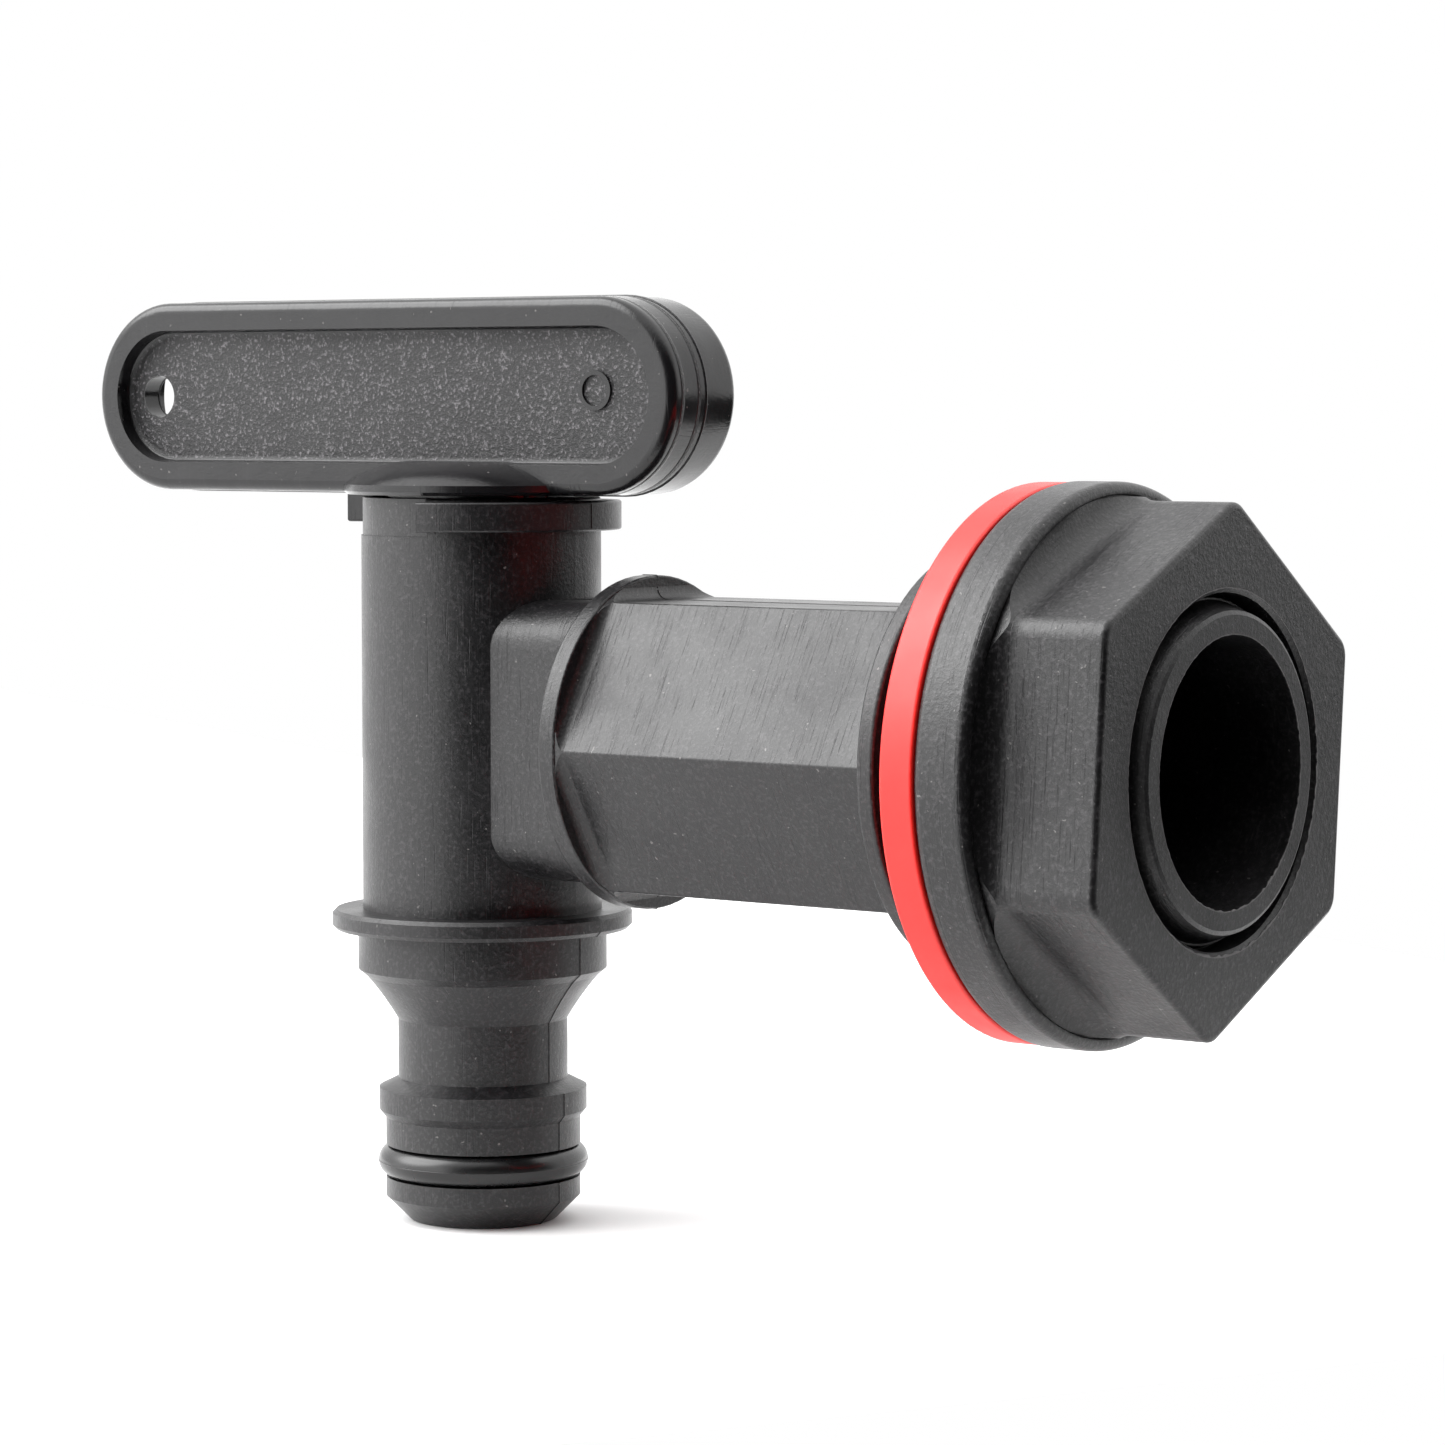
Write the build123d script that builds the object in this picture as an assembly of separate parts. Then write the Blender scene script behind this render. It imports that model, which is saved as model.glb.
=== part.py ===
"""A quarter-turn plastic lever tap for a tank wall, as an assembly of its separate pieces.

The inlet barrel runs along +X. The origin is on the barrel's axis, in the face of the sealing
flange, so the threaded spigot that goes into the tank is on the +X side. The plug turns about a
vertical axis in the upright tube, under the lever, and the hose outlet points down.
All sizes are in millimetres.
"""

import math
import os

from build123d import *

# ---- Threaded spigot and sealing flange -------------------------------------------------
thread_radius = 13.22  # crest of the 3/4 inch parallel pipe thread
thread_pitch = 1.814
thread_depth = 1.16
thread_flat = 0.3  # width of the flats at the thread's crest and root
thread_play = 0.12  # between the spigot's thread and the nut's, radially and along the axis
spigot_length = 19.4
spigot_wall = 2.56  # bore to thread root
thread_run_out = 1.2  # length over which the thread fades at its end
core_tail = 1.1  # plain core between the thread's end and the pilot
pilot_length = 2.0  # tapered plain end of the spigot
pilot_step = 0.21  # the pilot's radius at its root is this much under the thread's root
pilot_taper = 0.7  # the pilot is this much narrower again at its chamfer
pilot_lead = 0.3  # chamfer at the spigot's end, on the radius
pilot_lead_length = 0.15
flange_width = 1.98  # how far the sealing flange stands out past the thread
flange_thickness = 1.4
flange_round = 0.3

# ---- Hexagonal barrel, disc and the neck that joins them to the tube --------------------
barrel_length = 47.03  # tube axis to the flange's face
hex_wall = 1.18  # over the bore, at the middle of a flat
hex_edge_round = 0.3
barrel_draft = 0.45  # the bore's inner end is this much narrower, on the radius
disc_start = 15.54  # tube axis to the disc's back
disc_thickness = 1.46
disc_lip = 0.15  # how far the disc stands out past the hexagon's corners
disc_fillet = 0.95  # hollow shoulders from the disc's face up to the hexagon's flats
neck_inset = 2.53  # the neck is this much narrower than the tube, each side
neck_half_height = 10.5
neck_corner = 3.5
port_radius = 4.3
barrel_end_wall = 1.2  # between the disc's front and the inner end of the barrel's bore

# ---- Upright tube -----------------------------------------------------------------------
chamber_radius = 7.3
tube_wall = 1.88
tube_top = 18.15
tube_top_round = 0.25
collar_width = 1.57  # how far the stop collar stands out past the tube
collar_height = 2.25
collar_drop = 0.25  # the collar's top is this much under the tube's
collar_round = 0.2
track_depth = 0.12  # relief in the tube where the lever's stop lug passes
track_margin = 0.4  # the relief reaches this much under the collar's underside
seat_width = 1.1  # ledge under the plug
funnel_depth = 9.0  # from the ledge down to the outlet's bore

# ---- Outlet for click-on hose connectors -------------------------------------------------
rim_level = -13.43
rim_width = 2.35  # how far the rim stands out past the tube
rim_thickness = 1.5
rim_round = 0.3
skirt_step = 0.39  # how far the skirt stands out past the tube
skirt_height = 3.1
skirt_chamfer_width = 0.66
skirt_chamfer_height = 0.56
flare_height = 3.9  # skirt's foot to the outlet's neck
flare_hollow = 0.12  # the flare is hollow by this much at its middle
outlet_neck_radius = 6.53
outlet_neck_height = 4.56
ridge_radius = 8.0
ridge_lead = 0.74
ridge_height = 1.7
ridge_tail = 0.6
land_radius = 7.5
upper_land_height = 2.1
ring_groove_height = 2.5
ring_groove_depth = 1.85
lower_land_height = 1.5
nose_tip_radius = 5.6
nose_tip_height = 1.89
nose_tip_round = 0.6
outlet_bore_radius = 4.4

# ---- Outlet's O-ring -----------------------------------------------------------------------
outlet_ring_section = 2.42
outlet_ring_stand = 0.59  # how far the O-ring stands out past the lands

# ---- Plug and its seals --------------------------------------------------------------------
running_clearance = 0.08  # radial, of the plug in its chamber
plug_end_clearance = 0.15
plug_bore_radius = 4.7
plug_crown = 2.0  # thickness of the plug's closed top
plug_port_radius = 4.2
ring_section = 1.8  # the plug's O-rings
ring_clearance = 0.03
ring_groove_clearance = 0.1  # along the axis, each side
pad_overlap = 0.9  # how far the shut-off pad covers past the port's edge
pad_thickness = 1.5
pad_clearance = 0.06
groove_land = 0.6  # plug wall between the pad's pocket and an O-ring groove
foot_land = 1.0  # plug wall under the lower groove
drive_width = 6.0  # square drive between plug and lever
drive_height = 3.4
drive_clearance = 0.05
drive_round = 0.5

# ---- Retaining ring ------------------------------------------------------------------------
clip_height = 1.1
clip_engagement = 0.6  # how far the ring reaches into the tube's groove
clip_grip = 0.9  # how far the ring reaches into the lever stem's groove
clip_clearance = 0.15
clip_depth = 3.0  # tube's top to the ring's top
clip_gap_angle = 24.0

# ---- Lever ---------------------------------------------------------------------------------
lever_length = 58.15
lever_height = 14.89
lever_thickness = 8.2  # at the short end
lever_slimming = 1.9  # the back of the lever leans in by this much towards the long end
lever_reach = 36.6  # plug axis to the lever's long end
lever_gap = 0.22  # between the lever's underside and the tube's top
lever_rim = 2.25
lever_back_rim = 1.2
lever_web = 1.95
front_pocket_depth = 1.35  # the pocket on the -Y side; the one behind the web is deeper
lever_draft = 1.0  # degrees, each way from the mid-plane
lever_edge_round = 0.85
pocket_draft = 6.0
pocket_floor_round = 0.45
lanyard_hole_radius = 1.7
lanyard_inset = 5.5  # hole's centre from the lever's long end
hub_radius = 10.5
hub_edge = 0.75  # from the lever's underside to the top of the hub's edge
hub_round = 0.25
hub_height = 2.5
hub_top_radius = 4.6
hub_shoulder_radius = 9.0
lug_half_angle = 12.0
lug_width = 2.2  # radial
lug_track_clearance = 0.3
lug_reach = 2.25  # how far the lug hangs below the lever's underside
stop_clearance = 0.4  # degrees between the lug and the collar's ends
swing = 90.0  # degrees from open to shut
stem_clearance = 0.3  # between the lever stem's foot and the plug's crown
mark_radius = 1.5  # plain raised ring on the lever's face
mark_line = 0.35
mark_relief = 0.22
mark_inset = 8.2  # its centre from the lever's short end
mark_rise = 0.4

# ---- Washer and back nut -------------------------------------------------------------------
washer_gap = 3.67  # thread showing between the flange and the washer
washer_thickness = 2.68
washer_clearance = 0.35  # over the thread
washer_trim = 0.09  # the washer is this much smaller than the nut's flange, on the radius
washer_round = 0.25
nut_flange_thickness = 4.15
nut_flange_lip = 1.03  # how far the nut's flange stands out past the hexagon's corners
nut_flange_round = 0.7
nut_hex_height = 8.4
nut_wall = 3.08  # over the thread, at the middle of a flat
nut_corner_round = 1.7
nut_edge_round = 0.45
nut_root_fillet = 2.3
nut_rim_height = 0.4  # raised rim round the flange's front
nut_rim_width = 0.95
nut_rim_round = 0.15
nut_turn = -4.56  # degrees that the nut stands from point-up
nut_minor_gap = 0.3  # nut's bore over the thread's root
nut_seat_gap = 0.02  # film of air between the washer and the nut
nut_lip_height = 2.3  # plain bore at the nut's outer end, where the thread stops
nut_lip_chamfer = 0.3

# ---- Sizes that follow from the ones above -----------------------------------------------
core_radius = thread_radius - thread_depth
bore_radius = core_radius - spigot_wall
pilot_radius = core_radius - pilot_step
thread_end = spigot_length - pilot_length - core_tail
flange_radius = thread_radius + flange_width

half_root = (thread_pitch - thread_flat) / 2  # half the width of the thread's ridge at its root
half_crest = thread_flat / 2
flank_slope = (half_root - half_crest) / thread_depth

hex_flat = bore_radius + hex_wall
hex_corner = hex_flat / math.cos(math.pi / 6)
disc_radius = hex_corner + disc_lip
disc_front = disc_start + disc_thickness - barrel_length
barrel_bore_end = disc_front + barrel_end_wall

tube_radius = chamber_radius + tube_wall
tube_axis = Pos(-barrel_length, 0, 0)
neck_half_width = tube_radius - neck_inset
collar_radius = tube_radius + collar_width
collar_top = tube_top - collar_drop
collar_bottom = collar_top - collar_height
collar_end = 180 - lug_half_angle - stop_clearance
collar_start = -180 + swing + lug_half_angle + stop_clearance
skirt_foot = rim_level - rim_thickness - skirt_height

plug_radius = chamber_radius - running_clearance
ring_middle_radius = chamber_radius - ring_clearance - ring_section / 2
ring_groove_radius = ring_middle_radius - ring_section / 2 - ring_clearance
ring_groove_half = ring_section / 2 + ring_groove_clearance
pad_radius = port_radius + pad_overlap
pad_pocket_radius = pad_radius + pad_clearance
ring_level = pad_pocket_radius + groove_land + ring_groove_half
plug_bottom = -(ring_level + ring_groove_half + foot_land)
plug_top = ring_level + ring_groove_half + foot_land
seat_level = plug_bottom - plug_end_clearance
funnel_bottom = seat_level - funnel_depth

clip_top = tube_top - clip_depth
clip_bottom = clip_top - clip_height
clip_outer_radius = chamber_radius + clip_engagement
clip_inner_radius = plug_radius - clip_grip
lever_bottom = tube_top + lever_gap
web_front = -lever_thickness / 2 + front_pocket_depth  # along Y
web_back = web_front + lever_web
stem_bottom = plug_top + stem_clearance
lug_inner_radius = tube_radius + lug_track_clearance
nut_flat = thread_radius + nut_wall
nut_corner = nut_flat / math.cos(math.pi / 6)
nut_flange_radius = nut_corner + nut_flange_lip
washer_radius = nut_flange_radius - washer_trim
nut_start = washer_gap + washer_thickness + nut_seat_gap
nut_end = nut_start + nut_flange_thickness + nut_hex_height
nut_minor_radius = core_radius + nut_minor_gap


# ---- Helpers -------------------------------------------------------------------------------
def turned_upright(outline):
    """A solid of revolution about Z. The outline is (radius, height) corners, or a closed curve."""
    if isinstance(outline, list):
        outline = Polyline(outline, close=True)
    return revolve(Plane.XZ * make_face(outline), Axis.Z)


def turned_along_barrel(outline):
    """The same about X, from (distance along X, radius)."""
    if isinstance(outline, list):
        outline = Polyline(outline, close=True)
    return revolve(Plane.XZ * make_face(outline), Axis.X)


def rod_upright(radius, low, high):
    return Pos(0, 0, low) * extrude(Circle(radius), high - low)


def rod_along_barrel(radius, start, end):
    return extrude(Plane.YZ.offset(start) * Circle(radius), end - start)


def ring_upright(outer, inner, low, high):
    return rod_upright(outer, low, high) - rod_upright(inner, low - 1, high + 1)


def sector_ring(outer, inner, low, high, start, end):
    """Part of an upright ring, from one angle to another in degrees about Z."""
    corners = [(inner, low), (outer, low), (outer, high), (inner, high)]
    section = Plane.XZ * make_face(Polyline(corners, close=True))
    return Rot(0, 0, start) * revolve(section, Axis.Z, end - start)


def thread_ridge(base, tip, half_base, half_tip, offset):
    """A helical ridge about X with a tapering section, longer than any piece that it's cut to.

    The base and the tip are radii, the halves are half widths there, and the offset moves the
    ridge along X: with half a pitch of offset it fills the groove of a ridge with none."""
    lead_in = 3 * thread_pitch
    path = Helix(
        pitch=thread_pitch,
        height=nut_end + 2 * lead_in,
        radius=core_radius,
        center=(offset - lead_in, 0, 0),
        direction=(1, 0, 0),
    )
    outline = Polyline(
        (base - core_radius, -half_base),
        (tip - core_radius, -half_tip),
        (tip - core_radius, half_tip),
        (base - core_radius, half_base),
        close=True,
    )
    begin = path @ 0
    outward = Vector(0, begin.Y, begin.Z).normalized()
    section = Plane(origin=begin, x_dir=outward, z_dir=path % 0) * make_face(outline)
    return sweep(section, path=path, is_frenet=True)


# ---- Body ----------------------------------------------------------------------------------
def threaded_spigot():
    overlap = 0.25  # the ridge's base is this far inside the core
    skim = 0.06  # taken off the core past the thread
    past = 4 * thread_pitch
    ridge = thread_ridge(
        core_radius - overlap, thread_radius, half_root + overlap * flank_slope, half_crest, 0
    )
    bar = rod_along_barrel(core_radius, -past, spigot_length + past) + ridge
    start = -flange_thickness / 2
    over = thread_radius + 1
    core_end = thread_end + core_tail
    threaded = bar & turned_along_barrel(
        [
            (start, 0),
            (start, over),
            (thread_end - thread_run_out, over),
            (thread_end, core_radius - skim),
            (core_end, core_radius - 1.5 * skim),
            (core_end, 0),
        ]
    )
    end_radius = pilot_radius - pilot_taper
    pilot = turned_along_barrel(
        [
            (start, 0),
            (start, pilot_radius),
            (core_end, pilot_radius),
            (spigot_length - pilot_lead_length, end_radius),
            (spigot_length, end_radius - pilot_lead),
            (spigot_length, 0),
        ]
    )
    return threaded + pilot


def sealing_flange():
    flange = rod_along_barrel(flange_radius, -flange_thickness, 0)
    return fillet(flange.edges().filter_by(GeomType.CIRCLE), flange_round)


def bar_with_shoulders(hexagon, corner, floor, end, shoulder):
    """A hexagonal bar along X that grows out of an oversize table with hollow shoulders."""
    table = rod_along_barrel(2 * corner, floor - 1, floor)
    bar = table + extrude(Plane.YZ.offset(floor) * hexagon, end - floor)
    foot = bar.edges().filter_by_position(Axis.X, floor, floor).filter_by(
        lambda edge: edge.bounding_box().max.Z < 1.5 * corner
    )
    return fillet(foot, shoulder)


def hexagonal_barrel():
    """The hexagon, flats at the top and bottom, with the disc at its root."""
    hexagon = RegularPolygon(hex_corner, 6)
    hexagon = fillet(hexagon.vertices(), hex_edge_round)
    bar = bar_with_shoulders(hexagon, hex_corner, disc_front, -flange_thickness / 2, disc_fillet)
    bar &= rod_along_barrel(hex_corner, disc_front - 1, 0)
    disc = rod_along_barrel(disc_radius, disc_start - barrel_length, disc_front)
    disc = fillet(disc.edges().filter_by(GeomType.CIRCLE), disc_lip)
    return bar + disc


def neck():
    """The rounded rectangular link between the disc and the tube."""
    section = RectangleRounded(2 * neck_half_width, 2 * neck_half_height, neck_corner)
    reach = disc_start + disc_thickness / 2
    return extrude(Plane.YZ.offset(-barrel_length) * section, reach)


def upright_tube():
    """The tube with its stop collar, about Z."""
    tube = rod_upright(tube_radius, rim_level - rim_thickness / 2, tube_top)
    top_edge = tube.edges().filter_by(GeomType.CIRCLE).sort_by(Axis.Z)[-1]
    tube = fillet(top_edge, tube_top_round)
    collar = sector_ring(
        collar_radius, tube_radius - 0.5, collar_bottom, collar_top, collar_start, collar_end
    )
    rims = collar.edges().filter_by(GeomType.CIRCLE).filter_by(lambda edge: edge.radius > tube_radius)
    collar = fillet(rims, collar_round)
    track = sector_ring(
        tube_radius + 1, tube_radius - track_depth, collar_bottom - track_margin, tube_top + 1,
        collar_end, 360 + collar_start
    )
    return tube + collar - track


def outlet_outside():
    """The outlet, from the tube's foot down to the nose's tip, about Z."""
    inner = outlet_bore_radius / 2  # any radius inside the bore, which is cut later
    rim_radius = tube_radius + rim_width
    skirt_radius = tube_radius + skirt_step
    corners = Polyline(
        (inner, rim_level),
        (rim_radius - rim_round, rim_level),
        (rim_radius, rim_level - rim_round),
        (rim_radius, rim_level - rim_thickness + rim_round),
        (rim_radius - rim_round, rim_level - rim_thickness),
        (skirt_radius, rim_level - rim_thickness),
        (skirt_radius, skirt_foot),
        (skirt_radius - skirt_chamfer_width, skirt_foot - skirt_chamfer_height),
    )
    top, bottom = corners @ 1, Vector(outlet_neck_radius, skirt_foot - flare_height)
    middle = (top + bottom) / 2 - Vector(flare_hollow, 0)
    flare = ThreePointArc(top, middle, bottom)
    z = bottom.Y - outlet_neck_height
    points = [(outlet_neck_radius, z)]
    z -= ridge_lead
    points.append((ridge_radius, z))
    z -= ridge_height
    points.append((ridge_radius, z))
    z -= ridge_tail
    points.append((land_radius, z))
    z -= upper_land_height
    points.append((land_radius, z))
    points.append((land_radius - ring_groove_depth, z))
    z -= ring_groove_height
    points.append((land_radius - ring_groove_depth, z))
    points.append((land_radius, z))
    z -= lower_land_height
    points.append((land_radius, z))
    z -= nose_tip_height
    points.append((nose_tip_radius, z))
    outline = corners + flare + Polyline(bottom, *points, (inner, z), (inner, rim_level))
    outlet = turned_upright(outline)
    tip = outlet.edges().filter_by(GeomType.CIRCLE).group_by(Axis.Z)[0].sort_by(SortBy.RADIUS)[-1]
    return fillet(tip, nose_tip_round)


def waterways():
    """The room inside the body: inlet bore, port, plug chamber and outlet."""
    inlet = turned_along_barrel(
        [
            (barrel_bore_end, 0),
            (barrel_bore_end, bore_radius - barrel_draft),
            (-flange_thickness, bore_radius),
            (spigot_length + 1, bore_radius),
            (spigot_length + 1, 0),
        ]
    )
    port = rod_along_barrel(port_radius, -barrel_length, barrel_bore_end + 1)
    nose_tip = outlet_tip_level() - 1
    chamber = turned_upright(
        [
            (0, tube_top + 1),
            (chamber_radius, tube_top + 1),
            (chamber_radius, clip_top + clip_clearance),
            (clip_outer_radius + clip_clearance, clip_top + clip_clearance),
            (clip_outer_radius + clip_clearance, clip_bottom - clip_clearance),
            (chamber_radius, clip_bottom - clip_clearance),
            (chamber_radius, seat_level),
            (chamber_radius - seat_width, seat_level),
            (outlet_bore_radius, funnel_bottom),
            (outlet_bore_radius, nose_tip),
            (0, nose_tip),
        ]
    )
    return inlet + port + tube_axis * chamber


def outlet_tip_level():
    heights = [flare_height, outlet_neck_height, ridge_lead, ridge_height, ridge_tail]
    heights += [upper_land_height, ring_groove_height, lower_land_height, nose_tip_height]
    return skirt_foot - sum(heights)


def outlet_ring_level():
    heights = [flare_height, outlet_neck_height, ridge_lead, ridge_height, ridge_tail]
    return skirt_foot - sum(heights) - upper_land_height - ring_groove_height / 2


def valve_body():
    outside = hexagonal_barrel() + sealing_flange() + neck()
    outside += tube_axis * (upright_tube() + outlet_outside())
    outside += threaded_spigot()
    return outside - waterways()


# ---- Lever ---------------------------------------------------------------------------------
def stadium(inset=0.0):
    """The lever's outline, seen from its side, about the plug's axis."""
    length = lever_length - 2 * inset
    height = lever_height - 2 * inset
    middle = (lever_length / 2 - lever_reach, lever_bottom + lever_height / 2)
    return Pos(*middle) * SlotOverall(length, height)


def lever_paddle():
    half = lever_thickness / 2
    paddle = Plane.XZ * stadium()
    paddle = extrude(paddle, half, taper=lever_draft) + extrude(paddle, -half, taper=lever_draft)
    lean = math.degrees(math.atan(lever_slimming / lever_length))
    short_end = lever_length - lever_reach
    front_face = (Align.CENTER, Align.MIN, Align.CENTER)
    behind = Box(4 * lever_length, lever_length, 4 * lever_length, align=front_face)
    paddle -= Pos(short_end, half, 0) * Rot(0, 0, lean) * behind
    rims = paddle.faces().sort_by(Axis.Y)[0].edges() + paddle.faces().sort_by(Axis.Y)[-1].edges()
    paddle = fillet(rims, lever_edge_round)
    for side, level, rim in ((-1, web_front, lever_rim), (1, web_back, lever_back_rim)):
        depth = abs(side * half - level)
        floor_inset = rim + depth * math.tan(math.radians(pocket_draft))
        floor = Plane.XZ.offset(-level) * stadium(floor_inset)
        pocket = extrude(floor, -side * (depth + 1), taper=-pocket_draft)
        floor_edges = pocket.edges().group_by(Axis.Y)[-1 if side < 0 else 0]
        paddle -= fillet(floor_edges, pocket_floor_round)
    return paddle


def lever_hub():
    """The disc under the paddle, with a hollowed shoulder up to the paddle's lower rim."""
    low = lever_bottom
    edge = Polyline(
        (0, low), (hub_radius - hub_round, low), (hub_radius, low + hub_round), (hub_radius, low + hub_edge)
    )
    shoulder = RadiusArc(edge @ 1, (hub_top_radius, low + hub_height), -hub_shoulder_radius)
    top = Polyline(shoulder @ 1, (0, low + hub_height), (0, low))
    return turned_upright(edge + shoulder + top)


def stop_lug():
    """It hangs over the tube's side and meets the ends of the collar."""
    lug = sector_ring(
        lug_inner_radius + lug_width, lug_inner_radius, lever_bottom - lug_reach,
        lever_bottom + hub_edge + 0.3, 180 - lug_half_angle, 180 + lug_half_angle
    )
    return fillet(lug.edges().group_by(Axis.Z)[0], 0.2)


def lever_stem():
    """The journal inside the tube, with the groove for the retaining ring and a square socket."""
    groove_play = 0.05
    stem = rod_upright(plug_radius, stem_bottom, lever_bottom + 0.5)
    stem -= ring_upright(
        plug_radius + 1, clip_inner_radius - groove_play, clip_bottom - groove_play, clip_top + groove_play
    )
    socket_width = drive_width + 2 * drive_clearance
    socket = extrude(RectangleRounded(socket_width, socket_width, drive_round), drive_height + 0.2)
    return stem - Pos(0, 0, stem_bottom) * socket


def lever_handle():
    lever = lever_paddle() + lever_hub() + stop_lug() + lever_stem()
    middle = lever_bottom + lever_height / 2
    hole_x = lanyard_inset - lever_reach
    hole = extrude(Plane.XZ * Pos(hole_x, middle) * Circle(lanyard_hole_radius), lever_thickness, both=True)
    mark_x = lever_length - lever_reach - mark_inset
    ring = Circle(mark_radius) - Circle(mark_radius - mark_line)
    sunk = 0.1  # the mark's foot is this far inside the web
    floor = Plane.XZ.offset(-web_front - sunk)
    mark = extrude(floor * Pos(mark_x, middle + mark_rise) * ring, mark_relief + sunk)
    return tube_axis * (lever - hole + mark)


# ---- Plug and seals ------------------------------------------------------------------------
def pad_blank(radius, outer, inner):
    """A disc of the plug's wall about the -Y direction, between two radii."""
    disc = extrude(Plane.XZ * Circle(radius), outer + 1)
    return disc & ring_upright(outer, inner, -radius - 1, radius + 1)


def valve_plug():
    plug = rod_upright(plug_radius, plug_bottom, plug_top)
    drive = extrude(RectangleRounded(drive_width, drive_width, drive_round), drive_height + stem_clearance)
    plug += Pos(0, 0, plug_top) * drive
    plug -= rod_upright(plug_bore_radius, plug_bottom - 1, plug_top - plug_crown)
    plug -= extrude(Plane.YZ * Circle(plug_port_radius), plug_radius + 1)
    plug -= pad_blank(pad_pocket_radius, plug_radius + 1, plug_radius - pad_thickness)
    for level in (ring_level, -ring_level):
        plug -= ring_upright(
            plug_radius + 1, ring_groove_radius, level - ring_groove_half, level + ring_groove_half
        )
    return tube_axis * plug


def shut_off_pad():
    outer = chamber_radius - ring_clearance
    return tube_axis * pad_blank(pad_radius, outer, plug_radius - pad_thickness + pad_clearance)


def plug_ring(level):
    return tube_axis * Pos(0, 0, level) * Torus(ring_middle_radius, ring_section / 2)


def retaining_ring():
    """A split ring that holds the lever's stem down in the tube."""
    half_gap = clip_gap_angle / 2
    ring = sector_ring(
        clip_outer_radius, clip_inner_radius, clip_bottom, clip_top, half_gap, 360 - half_gap
    )
    return tube_axis * ring


def outlet_ring():
    middle = land_radius + outlet_ring_stand - outlet_ring_section / 2
    return tube_axis * Pos(0, 0, outlet_ring_level()) * Torus(middle, outlet_ring_section / 2)


# ---- Washer and back nut -------------------------------------------------------------------
def sealing_washer():
    outer = rod_along_barrel(washer_radius, washer_gap, washer_gap + washer_thickness)
    washer = outer - rod_along_barrel(thread_radius + washer_clearance, 0, nut_start)
    return fillet(washer.edges().filter_by(GeomType.CIRCLE), washer_round)


def nut_thread_lining(start, end):
    """The nut's own thread, in a thin sleeve that joins it to the nut."""
    overlap = 0.25  # the ridge's base is this far inside the sleeve
    past = 4 * thread_pitch
    groove = thread_radius + thread_play
    tip = nut_minor_radius

    def half_width(radius):
        return thread_pitch / 2 - half_root - thread_play + (radius - core_radius) * flank_slope

    base = groove + overlap
    ridge = thread_ridge(base, tip, half_width(base), half_width(tip), thread_pitch / 2)
    sleeve = rod_along_barrel(groove + 2 * overlap, -past, nut_end + past)
    sleeve -= rod_along_barrel(groove, -past - 1, nut_end + past + 1)
    return (sleeve + ridge) & rod_along_barrel(groove + 3 * overlap, start, end)


def nut_outside():
    """A round flange with a raised rim, and a hexagon with hollow shoulders down to the flange."""
    rim_end = nut_start + nut_flange_thickness
    floor = rim_end - nut_rim_height
    recess_radius = nut_flange_radius - nut_rim_width
    flange = rod_along_barrel(nut_flange_radius, nut_start, rim_end)
    flange = fillet(flange.edges().filter_by(GeomType.CIRCLE), nut_flange_round)
    flange -= rod_along_barrel(recess_radius, floor, rim_end + 1)
    crest = flange.edges().filter_by_position(Axis.X, rim_end, rim_end).sort_by(SortBy.RADIUS)[0]
    flange = fillet(crest, nut_rim_round)
    hexagon = RegularPolygon(nut_corner, 6, rotation=90 + nut_turn)
    hexagon = fillet(hexagon.vertices(), nut_corner_round)
    bar = bar_with_shoulders(hexagon, nut_corner, floor, nut_end, nut_root_fillet)
    bar = fillet(bar.faces().sort_by(Axis.X)[-1].edges(), nut_edge_round)
    trim = rod_along_barrel(recess_radius + nut_rim_width / 2, nut_start, floor + nut_rim_height / 2)
    trim += rod_along_barrel(nut_corner, nut_start, nut_end + 1)
    return flange + (bar & trim)


def back_nut():
    """The nut's thread stops short of its outer end, where a plain lip clears the spigot's pilot."""
    groove = thread_radius + thread_play
    threaded_end = nut_end - nut_lip_height
    mouth = nut_minor_radius + nut_lip_chamfer
    lip = turned_along_barrel(
        [
            (threaded_end - 1, 0),
            (threaded_end - 1, nut_minor_radius),
            (nut_end - nut_lip_chamfer, nut_minor_radius),
            (nut_end, mouth),
            (nut_end + 1, mouth),
            (nut_end + 1, 0),
        ]
    )
    nut = nut_outside() - rod_along_barrel(groove + 0.3, nut_start - 1, threaded_end) - lip
    return nut + nut_thread_lining(nut_start, threaded_end)


# ---- The assembly --------------------------------------------------------------------------
pieces = {
    "valve_body": valve_body(),
    "lever_handle": lever_handle(),
    "valve_plug": valve_plug(),
    "plug_o_ring_upper": plug_ring(ring_level),
    "plug_o_ring_lower": plug_ring(-ring_level),
    "shut_off_pad": shut_off_pad(),
    "retaining_ring": retaining_ring(),
    "outlet_o_ring": outlet_ring(),
    "tank_washer": sealing_washer(),
    "back_nut": back_nut(),
}

os.makedirs("parts", exist_ok=True)
for name, shape in pieces.items():
    export_step(shape, f"parts/{name}.step")
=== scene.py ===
import math
import random

import bmesh
import bpy
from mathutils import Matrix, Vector
from mathutils.bvhtree import BVHTree


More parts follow.
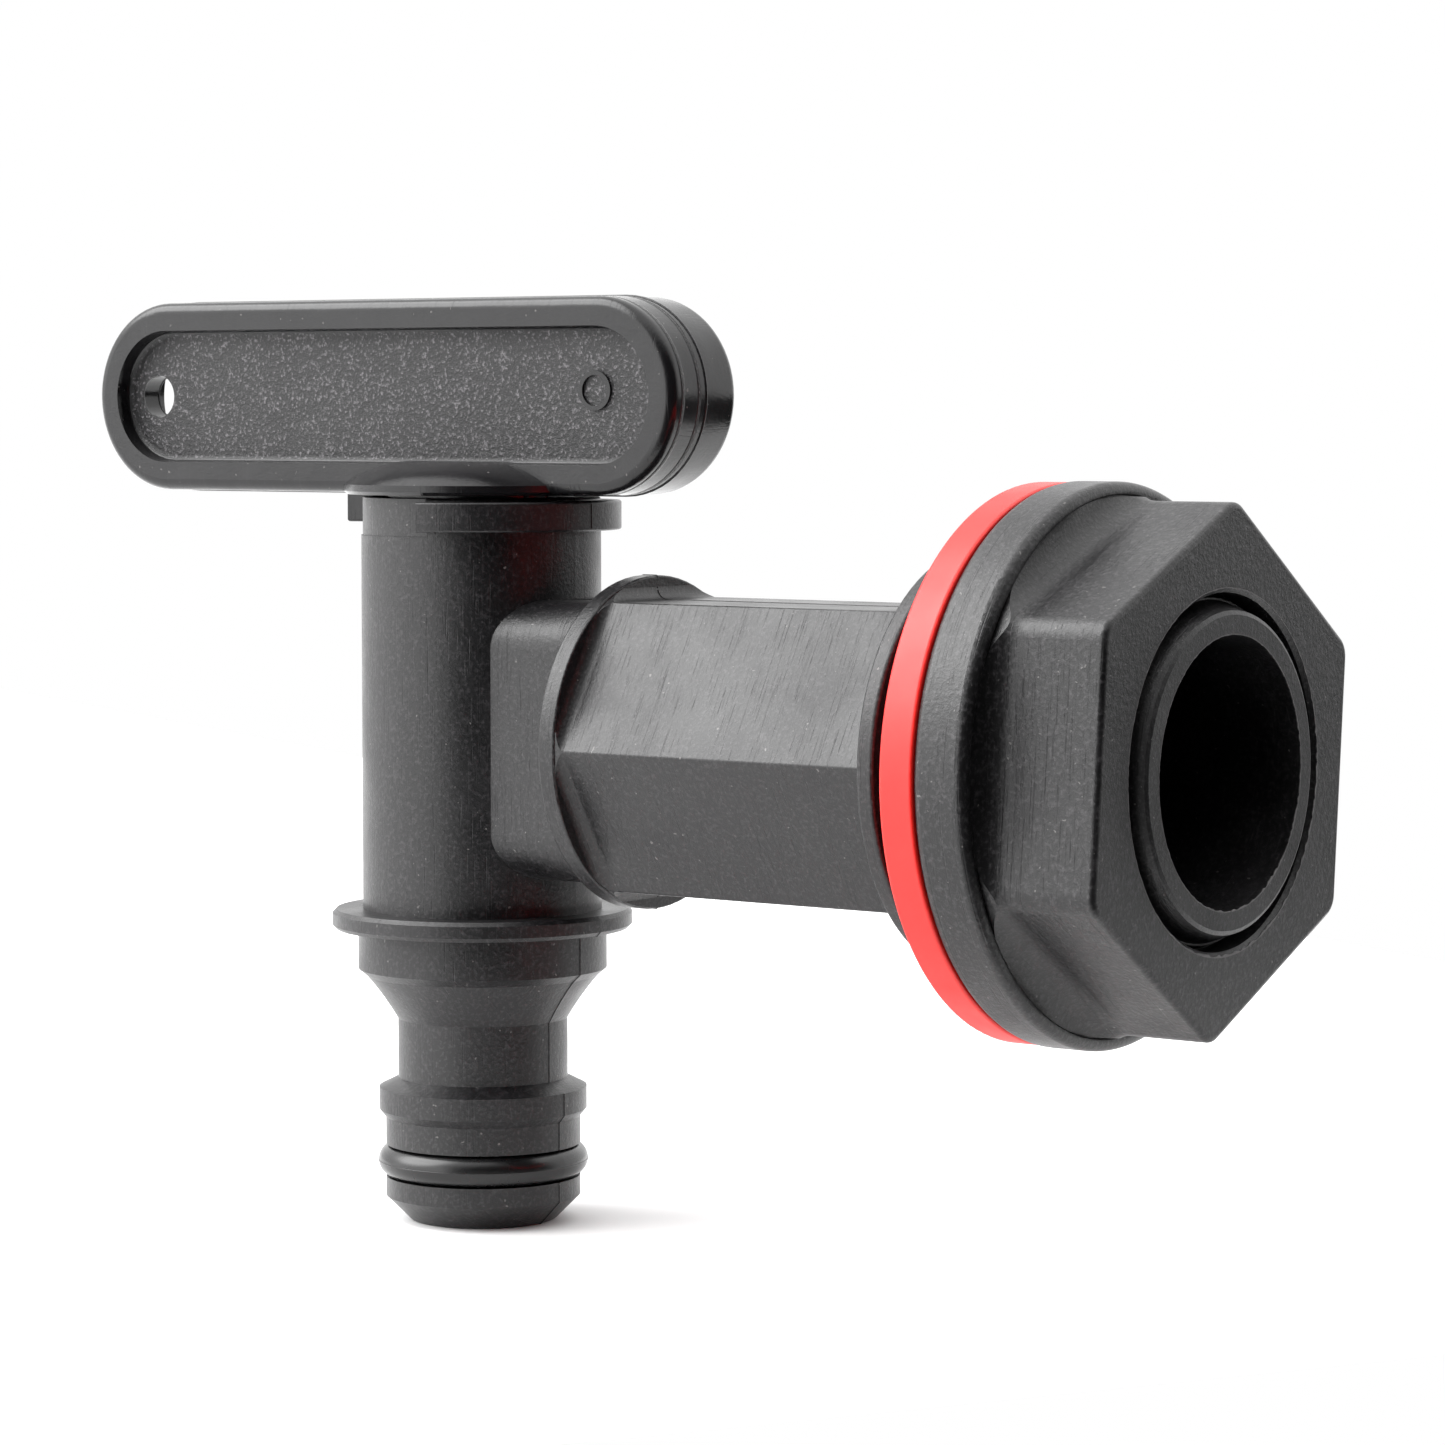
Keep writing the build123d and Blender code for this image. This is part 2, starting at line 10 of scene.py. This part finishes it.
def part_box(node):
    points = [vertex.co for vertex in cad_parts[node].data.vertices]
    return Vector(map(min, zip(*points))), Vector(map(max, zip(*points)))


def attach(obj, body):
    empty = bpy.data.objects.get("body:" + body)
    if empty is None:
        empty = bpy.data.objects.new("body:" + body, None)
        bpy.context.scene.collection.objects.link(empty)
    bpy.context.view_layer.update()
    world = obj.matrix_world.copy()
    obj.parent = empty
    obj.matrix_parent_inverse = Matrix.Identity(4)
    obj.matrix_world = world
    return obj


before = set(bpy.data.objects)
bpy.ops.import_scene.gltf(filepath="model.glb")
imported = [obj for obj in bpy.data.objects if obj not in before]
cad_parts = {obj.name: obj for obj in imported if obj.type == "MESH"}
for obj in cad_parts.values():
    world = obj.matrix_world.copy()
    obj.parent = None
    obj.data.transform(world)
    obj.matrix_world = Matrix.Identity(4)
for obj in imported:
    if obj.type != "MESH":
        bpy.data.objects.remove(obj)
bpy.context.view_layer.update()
print("frame loaded:", ", ".join(sorted(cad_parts)))

mm = 0.001
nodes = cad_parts
bodyLow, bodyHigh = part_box("valve_body")
leverLow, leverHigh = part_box("lever_handle")
nutLow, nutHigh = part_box("back_nut")
ringLow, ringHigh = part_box("outlet_o_ring")
tubeX = (ringLow.x + ringHigh.x) / 2  # axis of the tube, the plug and the outlet
floorZ = bodyLow.z
up = Vector((0, 0, 1))
plainWhite = (1, 1, 1, 1)

camera = {
    "place": (182.7, -278.0, 25.1),  # mm, in the model's frame
    "heading": (-0.5967, 0.8025),
    "tiltDown": 3.86,  # degrees
    "lens": 117.07,
}


def addCamera(s):
    data = bpy.data.cameras.new("studioCamera")
    data.sensor_width = 36
    data.lens = s["lens"]
    data.clip_start, data.clip_end = 0.01, 20
    lookout = bpy.data.objects.new("studioCamera", data)
    bpy.context.scene.collection.objects.link(lookout)
    lookout.location = Vector(s["place"]) * mm
    gaze = Vector((*s["heading"], -math.tan(math.radians(s["tiltDown"]))))
    lookout.rotation_mode = "QUATERNION"
    lookout.rotation_quaternion = gaze.to_track_quat("-Z", "Y")
    bpy.context.scene.camera = lookout
    bpy.context.scene.view_settings.view_transform = "Standard"
    bpy.context.scene.view_settings.look = "None"


addCamera(camera)
print("camera placed")


def linearColour(hexCode):  # sRGB hex to the linear values that shaders take
    parts = [int(hexCode[i:i + 2], 16) / 255 for i in (1, 3, 5)]
    return [p / 12.92 if p <= 0.04045 else ((p + 0.055) / 1.055) ** 2.4 for p in parts] + [1.0]


def addNode(tree, kind, sockets=None, output=0, **settings):
    # sockets holds a plain value or another node's output for each input, and one output comes back
    node = tree.nodes.new(kind)
    for name, value in settings.items():
        setattr(node, name, value)
    for socket, value in (sockets or {}).items():
        if isinstance(value, bpy.types.NodeSocket):
            tree.links.new(value, node.inputs[socket])
        else:
            node.inputs[socket].default_value = value
    return node.outputs[output] if node.outputs else None


room = {
    "wallBrightness": 1.5,  # white walls round the table
    "darkBrightness": 0.03,  # unlit side of the room, behind the camera
    "darkHeading": (0.88, -0.47),  # middle of the unlit side
    "darkEdges": (0.25, 0.78),  # cosines of the angles where the walls start to darken and are darkest
    "paperAhead": 55,  # mm, how far the white paper reaches in front of the tap
    "paperBehind": 3000,
    "paperRight": 150,  # mm
    "paperLeft": 3000,
    "paperColour": "#f0f0f0",
    "paperRoughness": 0.7,
    "skyBrightness": 0.6,
    "skyEdges": (0.5, 0.95),  # cosines again, where a light fades out and where it is full
    "keyBrightness": 6.0,  # large lamp up to the left of the table
    "keyHeading": (-0.6, -0.4, 0.7),
    "keyEdges": (0.84, 0.96),
    "windowBrightness": 1.6,  # softer light lower on the left
    "windowHeading": (-0.6, -0.8, 0.1),
    "windowEdges": (0.7, 0.9),
    "gapHeading": (0.6, 0.8, -0.05),  # dark gap between the paper's right edge and the wall
    "gapEdges": (0.86, 0.92),
    "gapLevels": (-0.3, -0.03),  # sines of the angles under the horizon that it fills
    "gapFade": 0.05,
    "gapBrightness": 0.1,
}


def buildRoom(s):
    world = bpy.data.worlds.new("whiteRoom")
    bpy.context.scene.world = world
    world.use_nodes = True
    tree = world.node_tree
    tree.nodes.clear()
    where = addNode(tree, "ShaderNodeTexCoord", output="Generated")

    def towards(heading, low, high, fromValue, toValue):  # brightness by the angle to a heading
        unit = Vector(heading).to_3d().normalized()
        dot = addNode(tree, "ShaderNodeVectorMath", {0: where, 1: unit}, "Value", operation="DOT_PRODUCT")
        return addNode(
            tree, "ShaderNodeMapRange",
            {"Value": dot, "From Min": low, "From Max": high, "To Min": fromValue, "To Max": toValue},
            interpolation_type="SMOOTHSTEP")

    walls = towards(s["darkHeading"], *s["darkEdges"], s["wallBrightness"], s["darkBrightness"])
    sky = towards(up, *s["skyEdges"], 0, s["skyBrightness"])
    key = towards(s["keyHeading"], *s["keyEdges"], 0, s["keyBrightness"])
    window = towards(s["windowHeading"], *s["windowEdges"], 0, s["windowBrightness"])
    gap = towards(s["gapHeading"], *s["gapEdges"], 0, 1)
    low, high = s["gapLevels"]
    under = towards(up, high, high + s["gapFade"], 1, 0)
    over = towards(up, low - s["gapFade"], low, 0, 1)
    for part in (under, over):
        gap = addNode(tree, "ShaderNodeMath", {0: gap, 1: part}, operation="MULTIPLY")
    lit = addNode(tree, "ShaderNodeMapRange", {"Value": gap, "To Min": walls, "To Max": s["gapBrightness"]})
    for lamp in (sky, key, window):
        lit = addNode(tree, "ShaderNodeMath", {0: lit, 1: lamp}, operation="ADD")
    glow = addNode(tree, "ShaderNodeBackground", {"Strength": lit, "Color": plainWhite})
    paper = addNode(tree, "ShaderNodeBackground", {"Color": plainWhite})
    seen = addNode(tree, "ShaderNodeLightPath", output="Is Camera Ray")
    both = addNode(tree, "ShaderNodeMixShader", {0: seen, 1: glow, 2: paper})
    addNode(tree, "ShaderNodeOutputWorld", {"Surface": both})


def addFloor(s):
    mesh = bpy.data.meshes.new("studioFloor")
    ahead = Vector(s["darkHeading"]).to_3d().normalized()
    left = ahead.cross(up)
    centre = Vector((tubeX / 2, 0, floorZ))
    corners = []
    for forward, sideways in (
            (s["paperAhead"], -s["paperRight"]), (s["paperAhead"], s["paperLeft"]),
            (-s["paperBehind"], s["paperLeft"]), (-s["paperBehind"], -s["paperRight"])):
        corners.append(centre + ahead * forward * mm + left * sideways * mm)
    mesh.from_pydata(corners, [], [(0, 1, 2, 3)])
    floor = bpy.data.objects.new("studioFloor", mesh)
    bpy.context.scene.collection.objects.link(floor)
    paper = bpy.data.materials.new("matt white paper")
    paper.use_nodes = True
    shader = paper.node_tree.nodes["Principled BSDF"]
    shader.inputs["Base Color"].default_value = linearColour(s["paperColour"])
    shader.inputs["Roughness"].default_value = s["paperRoughness"]
    mesh.materials.append(paper)


buildRoom(room)
addFloor(room)
print("room lit")


def newMaterial(name):
    material = bpy.data.materials.new(name)
    material.use_nodes = True
    tree = material.node_tree
    return material, tree, tree.nodes["Principled BSDF"]


def hairlines(tree, where, turn, spacing, length, levels):  # long thin streaks, as from handling
    across = 1 / (spacing * mm)
    along = 1 / (length * mm)
    spun = addNode(
        tree, "ShaderNodeMapping", {"Vector": where, "Rotation": turn, "Scale": (across, along, along)})
    streaks = addNode(tree, "ShaderNodeTexNoise", {"Vector": spun, "Scale": 1, "Detail": 2})
    low, high = levels
    return addNode(tree, "ShaderNodeMapRange", {"Value": streaks, "From Min": low, "From Max": high})


bodyPlastic = {
    "colour": "#0e0e0f",  # carbon black in polypropylene
    "paleColour": "#161517",
    "grain": 0.3,  # mm, the mould's spark-eroded grain, drawn twice as coarse as it is so that it shows
    "grainDepth": 0.035,  # mm
    "roughness": 0.36,
    "roughnessSpread": 0.08,
    "patch": 6.0,  # mm, how wide the duller and shinier patches are
    "patchLevels": (0.3, 0.7),  # levels of a pattern between which it takes effect
    "paleLevels": (0.35, 0.75),
    "crest": "#343234",  # tops of the grain, drawn paler
    "crestLevels": (0.5, 0.7),
    "dust": 0.4,  # mm, size of the specks
    "dustLevels": (0.755, 0.79),
    "dustShown": 0.4,
    "dustColour": "#8d8a88",
    "scratchLevels": (0.62, 0.75),
    "ior": 1.49,
    "scratches": [  # turn in radians, spacing and length in mm, depth in mm
        ((0.3, 0.9, 0.5), 0.12, 4.0, 0.012),
        ((1.1, -0.6, 0.2), 0.15, 7.0, 0.01),
    ],
}
nutPlastic = {
    **bodyPlastic,
    "grain": 0.34,
    "grainDepth": 0.045,
    "roughness": 0.38,
    "crest": "#3a383a",
    "scratches": [
        ((0, 0, 0), 0.14, 12.0, 0.014),  # turned lines round the flange
        ((0.7, 1.2, 0.3), 0.12, 3.0, 0.012),
    ],
}
leverPlastic = {
    **bodyPlastic,
    "colour": "#101011",
    "grainDepth": 0.012,
    "roughness": 0.17,
    "roughnessSpread": 0.07,
    "crest": "#151416",
    "waves": 0.06,  # mm, how deep the slow waves of the shrunk surface are
    "waveLength": 3.5,
    "ior": 1.44,
    "scratches": [
        ((0, 1.57, 0.02), 0.1, 6.0, 0.006),  # along the lever
        ((0.2, 1.2, 0.6), 0.12, 3.0, 0.006),
    ],
    # pale colour on the tops of the pocket floors' grain: painted glints, light painted into the colour
    "pocketPaintedGlint": "#6c696c",
    "pocketPaintedGlintLevels": (0.54, 0.7),
    "pocketGrain": 0.22,  # mm
    "pocketGrainDepth": 0.1,
    "pocketRoughness": 0.38,
    "frontWeb": -2.75,  # mm along Y, floors of the two pockets
    "backWeb": -0.8,
    "floorFade": (0.05, 0.25),  # mm off a floor, where its grain starts to fade and is gone
}


def addBump(tree, shader, height):  # height in mm
    bump = addNode(tree, "ShaderNodeBump", {"Height": height, "Strength": 1, "Distance": mm})
    tree.links.new(bump, shader.inputs["Normal"])


def pocketFloor(tree, where, s):  # 1 on the floors of the lever's two pockets, 0 elsewhere
    along = addNode(tree, "ShaderNodeSeparateXYZ", {0: where}, "Y")
    away = []
    for level in (s["frontWeb"], s["backWeb"]):
        past = addNode(tree, "ShaderNodeMath", {0: along, 1: level * mm}, operation="SUBTRACT")
        away.append(addNode(tree, "ShaderNodeMath", {0: past}, operation="ABSOLUTE"))
    nearer = addNode(tree, "ShaderNodeMath", {0: away[0], 1: away[1]}, operation="MINIMUM")
    near, far = s["floorFade"]
    return addNode(
        tree, "ShaderNodeMapRange",
        {"Value": nearer, "From Min": near * mm, "From Max": far * mm, "To Min": 1, "To Max": 0},
        interpolation_type="SMOOTHSTEP")


def mouldedPolypropylene(name, s):
    # fine-grained black polypropylene: soft wide reflections that the grain breaks up, a few specks of dust
    material, tree, shader = newMaterial(name)
    where = addNode(tree, "ShaderNodeTexCoord", output="Object")
    grain = addNode(tree, "ShaderNodeTexNoise", {
        "Vector": where, "Scale": 1 / (s["grain"] * mm), "Detail": 4, "Roughness": 0.65})
    patch = addNode(tree, "ShaderNodeTexNoise", {
        "Vector": where, "Scale": 1 / (s["patch"] * mm), "Detail": 5, "Roughness": 0.6})
    dust = addNode(tree, "ShaderNodeTexNoise", {
        "Vector": where, "Scale": 1 / (s["dust"] * mm), "Detail": 1})
    rough = addNode(tree, "ShaderNodeMapRange", {
        "Value": patch, "From Min": s["patchLevels"][0], "From Max": s["patchLevels"][1],
        "To Min": s["roughness"] - s["roughnessSpread"], "To Max": s["roughness"] + s["roughnessSpread"]})
    height = addNode(tree, "ShaderNodeMath", {0: grain, 1: s["grainDepth"]}, operation="MULTIPLY")
    # paler colours over the plain one: pattern, levels between which it comes in, how much, colour
    layers = [(patch, s["paleLevels"], 1, s["paleColour"]), (grain, s["crestLevels"], 1, s["crest"])]
    if "waves" in s:
        swell = addNode(tree, "ShaderNodeTexNoise", {
            "Vector": where, "Scale": 1 / (s["waveLength"] * mm), "Detail": 1})
        height = addNode(
            tree, "ShaderNodeMath", {0: swell, 1: s["waves"], 2: height}, operation="MULTIPLY_ADD")
    if "pocketGrain" in s:
        floor = pocketFloor(tree, where, s)
        pits = addNode(tree, "ShaderNodeTexNoise", {
            "Vector": where, "Scale": 1 / (s["pocketGrain"] * mm), "Detail": 3, "Roughness": 0.6})
        onFloor = addNode(tree, "ShaderNodeMath", {0: pits, 1: floor}, operation="MULTIPLY")
        height = addNode(
            tree, "ShaderNodeMath", {0: onFloor, 1: s["pocketGrainDepth"], 2: height},
            operation="MULTIPLY_ADD")
        rough = addNode(
            tree, "ShaderNodeMath", {0: floor, 1: s["pocketRoughness"] - s["roughness"], 2: rough},
            operation="MULTIPLY_ADD")
        # tops of the pocket floors' grain in a pale colour: painted glints
        layers.append((onFloor, s["pocketPaintedGlintLevels"], 1, s["pocketPaintedGlint"]))
    for turn, spacing, length, depth in s["scratches"]:
        scratch = hairlines(tree, where, turn, spacing, length, s["scratchLevels"])
        height = addNode(
            tree, "ShaderNodeMath", {0: scratch, 1: -depth, 2: height}, operation="MULTIPLY_ADD")
    layers.append((dust, s["dustLevels"], s["dustShown"], s["dustColour"]))
    addBump(tree, shader, height)
    tree.links.new(rough, shader.inputs["Roughness"])
    shown = linearColour(s["colour"])
    for pattern, (low, high), amount, hexCode in layers:
        share = addNode(tree, "ShaderNodeMapRange", {
            "Value": pattern, "From Min": low, "From Max": high, "To Max": amount})
        shown = addNode(
            tree, "ShaderNodeMix", {"Factor": share, 6: shown, 7: linearColour(hexCode)}, 2,
            data_type="RGBA")
    tree.links.new(shown, shader.inputs["Base Color"])
    shader.inputs["IOR"].default_value = s["ior"]
    return material


smoothMould = {  # what the smooth finishes share
    "patch": 4.0,  # mm
    "patchLevels": (0.3, 0.7),
    "roughnessSpread": 0.05,
    "ior": 1.5,
}
rubber = {  # nitrile rubber from a polished mould: black, with a soft shine
    **smoothMould,
    "colour": "#0d0d0e",
    "shade": "#0d0d0e",
    "roughness": 0.26,
    "grain": 0.2,  # mm
    "grainDepth": 0.003,  # mm
}
siliconeRubber = {  # flat moulded sheet of silicone: strong red, satin
    **smoothMould,
    "colour": "#f7261d",
    "shade": "#d9150f",
    "roughness": 0.42,
    "grain": 0.25,
    "grainDepth": 0.004,
}
tornPlastic = {  # polypropylene that tore where it was trimmed: paler and ragged
    **smoothMould,
    "colour": "#6a6768",
    "shade": "#3a3839",
    "roughness": 0.4,
    "grain": 0.15,
    "grainDepth": 0.03,
}
acetal = {  # injection-moulded acetal: smooth and slightly waxy
    **smoothMould,
    "colour": "#1d1d1f",
    "shade": "#1d1d1f",
    "roughness": 0.3,
    "grain": 0.4,
    "grainDepth": 0.002,
}
paleAcetal = {**acetal, "colour": "#d8d5cc", "shade": "#d8d5cc"}


def smoothMoulding(name, s):
    # from a polished mould: smooth, satin, and slightly uneven in its gloss
    material, tree, shader = newMaterial(name)
    where = addNode(tree, "ShaderNodeTexCoord", output="Object")
    patch = addNode(tree, "ShaderNodeTexNoise", {
        "Vector": where, "Scale": 1 / (s["patch"] * mm), "Detail": 4})
    grain = addNode(tree, "ShaderNodeTexNoise", {
        "Vector": where, "Scale": 1 / (s["grain"] * mm), "Detail": 2})
    height = addNode(tree, "ShaderNodeMath", {0: grain, 1: s["grainDepth"]}, operation="MULTIPLY")
    colour = addNode(
        tree, "ShaderNodeMix",
        {"Factor": patch, 6: linearColour(s["colour"]), 7: linearColour(s["shade"])}, 2, data_type="RGBA")
    rough = addNode(tree, "ShaderNodeMapRange", {
        "Value": patch, "From Min": s["patchLevels"][0], "From Max": s["patchLevels"][1],
        "To Min": s["roughness"] - s["roughnessSpread"], "To Max": s["roughness"] + s["roughnessSpread"]})
    addBump(tree, shader, height)
    tree.links.new(colour, shader.inputs["Base Color"])
    tree.links.new(rough, shader.inputs["Roughness"])
    shader.inputs["IOR"].default_value = s["ior"]
    return material


bodyFinish = mouldedPolypropylene("moulded polypropylene body", bodyPlastic)
leverFinish = mouldedPolypropylene("moulded polypropylene lever", leverPlastic)
nutFinish = mouldedPolypropylene("moulded polypropylene nut", nutPlastic)
rubberFinish = smoothMoulding("moulded nitrile rubber", rubber)
acetalFinish = smoothMoulding("moulded black acetal", acetal)
tornFinish = smoothMoulding("torn polypropylene edge", tornPlastic)
finishes = {
    "valve_body": bodyFinish,
    "back_nut": nutFinish,
    "lever_handle": leverFinish,
    "valve_plug": acetalFinish,
    "retaining_ring": smoothMoulding("moulded natural acetal", paleAcetal),
    "outlet_o_ring": rubberFinish,
    "plug_o_ring_upper": rubberFinish,
    "plug_o_ring_lower": rubberFinish,
    "shut_off_pad": rubberFinish,
    "tank_washer": smoothMoulding("moulded silicone rubber", siliconeRubber),
}
for nodeName, finish in finishes.items():
    mesh = nodes[nodeName].data
    mesh.materials.clear()
    mesh.materials.append(finish)
print("materials made")


def addPiece(name, data, body, finish):
    piece = bpy.data.objects.new(name, data)
    bpy.context.scene.collection.objects.link(piece)
    data.materials.append(finish)
    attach(piece, body)
    return piece


def thinBead(name, lines, radius, closed, body, finish):  # lines of points in metres, radius in mm
    curve = bpy.data.curves.new(name, "CURVE")
    curve.dimensions = "3D"
    curve.bevel_depth = radius * mm
    curve.bevel_resolution = 1
    curve.use_fill_caps = True
    for line in lines:
        spline = curve.splines.new("POLY")
        spline.points.add(len(line) - 1)
        for knot, point in zip(spline.points, line):
            knot.co = (*point, 1)
        spline.use_cyclic_u = closed
    return addPiece(name, curve, body, finish)


leverSeam = {
    "height": 14.89,  # mm, of the lever's face
    "radius": 0.1,
    "steps": 28,
}


def addLeverSeam(s):  # raised line round the middle of the lever's rim, where its mould's halves meet
    half = s["height"] / 2 * mm
    middle = leverHigh.z - half
    line = []
    for centre, start in ((leverHigh.x - half, -90), (leverLow.x + half, 90)):
        for step in range(s["steps"] + 1):
            angle = math.radians(start + 180 * step / s["steps"])
            line.append((centre + half * math.cos(angle), 0, middle + half * math.sin(angle)))
    thinBead("lever_seam", [line], s["radius"], True, "lever", leverFinish)


bodySeam = {
    "radius": 0.06,  # mm
    "farthest": 0.0,  # mm along X; the seam ends at the sealing flange
    "look": 0.05,  # mm off the surface, where the search for an outer wall starts
    "shortest": 0.1,  # a normal with less than this in the seam's plane is passed over
}


def chains(edges):  # runs of joined edges, as lists of points
    loose = set(edges)
    while loose:
        first = loose.pop()
        run = list(first.verts)
        for end in (0, -1):
            while True:
                onward = [e for e in run[end].link_edges if e in loose]
                if not onward:
                    break
                loose.discard(onward[0])
                far = onward[0].other_vert(run[end])
                if end == 0:
                    run.insert(0, far)
                else:
                    run.append(far)
        yield [v.co.copy() for v in run]


def addBodySeam(s):  # fine flash along the moulding's middle plane, on its outside only
    shell = bmesh.new()
    shell.from_mesh(nodes["valve_body"].data)
    tree = BVHTree.FromBMesh(shell)
    everything = shell.verts[:] + shell.edges[:] + shell.faces[:]
    cut = bmesh.ops.bisect_plane(shell, geom=everything, plane_co=(0, 0, 0), plane_no=(0, 1, 0))["geom_cut"]
    outer = []
    for edge in cut:
        if not isinstance(edge, bmesh.types.BMEdge) or len(edge.link_faces) < 2:
            continue
        middle = (edge.verts[0].co + edge.verts[1].co) / 2
        outward = sum((f.normal for f in edge.link_faces), Vector())
        outward.y = 0
        if outward.length < s["shortest"] or middle.x > s["farthest"] * mm:
            continue
        outward.normalize()
        if tree.ray_cast(middle + outward * s["look"] * mm, outward)[0] is None:
            outer.append(edge)
    lines = [line for line in chains(outer) if len(line) > 1]
    shell.free()
    thinBead("body_seam", lines, s["radius"], False, "tap_body", bodyFinish)


burrs = {
    "thickness": 0.07,  # mm
    "root": 0.05,  # how far the ring reaches into its wall
    "proud": 0.01,  # how far it stands off the end face
    "steps": 220,
    "heavySide": -50,  # degrees, where the tears are longest
    "lightest": 0.25,  # share of the full depth on the far side
}
spigotBurr = {**burrs, "radius": 9.5, "depth": 0.16, "seed": 3}  # mm; depth of the longest tears
nutBurr = {**burrs, "radius": 12.66, "depth": 0.22, "seed": 8}


def addBurr(name, face, s, body):  # torn edge round a hole, left where the moulding was trimmed
    dice = random.Random(s["seed"])
    mesh = bpy.data.meshes.new(name)
    points, faces = [], []
    front = face + s["proud"] * mm
    for step in range(s["steps"]):
        angle = 2 * math.pi * step / s["steps"]
        heavy = max(0, math.cos(angle - math.radians(s["heavySide"])))
        bite = s["lightest"] + (1 - s["lightest"]) * heavy
        inner = s["radius"] - s["depth"] * bite * dice.random() ** 2
        for r in (s["radius"] + s["root"], inner):
            for back in (0, s["thickness"]):
                points.append((front - back * mm, r * mm * math.cos(angle), r * mm * math.sin(angle)))
    for step in range(s["steps"]):
        a = 4 * step
        b = 4 * ((step + 1) % s["steps"])
        for u, v in ((0, 2), (2, 3), (3, 1), (1, 0)):
            faces.append((a + u, b + u, b + v, a + v))
    mesh.from_pydata(points, [], faces)
    addPiece(name, mesh, body, tornFinish)


ringFlash = {
    "radius": 0.04,  # mm
    "steps": 96,
}


def addRingFlash(s):  # line of flash round the O-ring's widest circle
    reach = (ringHigh.x - ringLow.x) / 2
    level = (ringLow.z + ringHigh.z) / 2
    line = []
    for step in range(s["steps"]):
        angle = 2 * math.pi * step / s["steps"]
        line.append((tubeX + reach * math.cos(angle), reach * math.sin(angle), level))
    thinBead("o_ring_flash", [line], s["radius"], True, "tap_body", rubberFinish)


addLeverSeam(leverSeam)
addBodySeam(bodySeam)
addBurr("spigot_burr", bodyHigh.x, spigotBurr, "tap_body")
addBurr("nut_burr", nutHigh.x, nutBurr, "nut")
addRingFlash(ringFlash)
print("seams and burrs made")
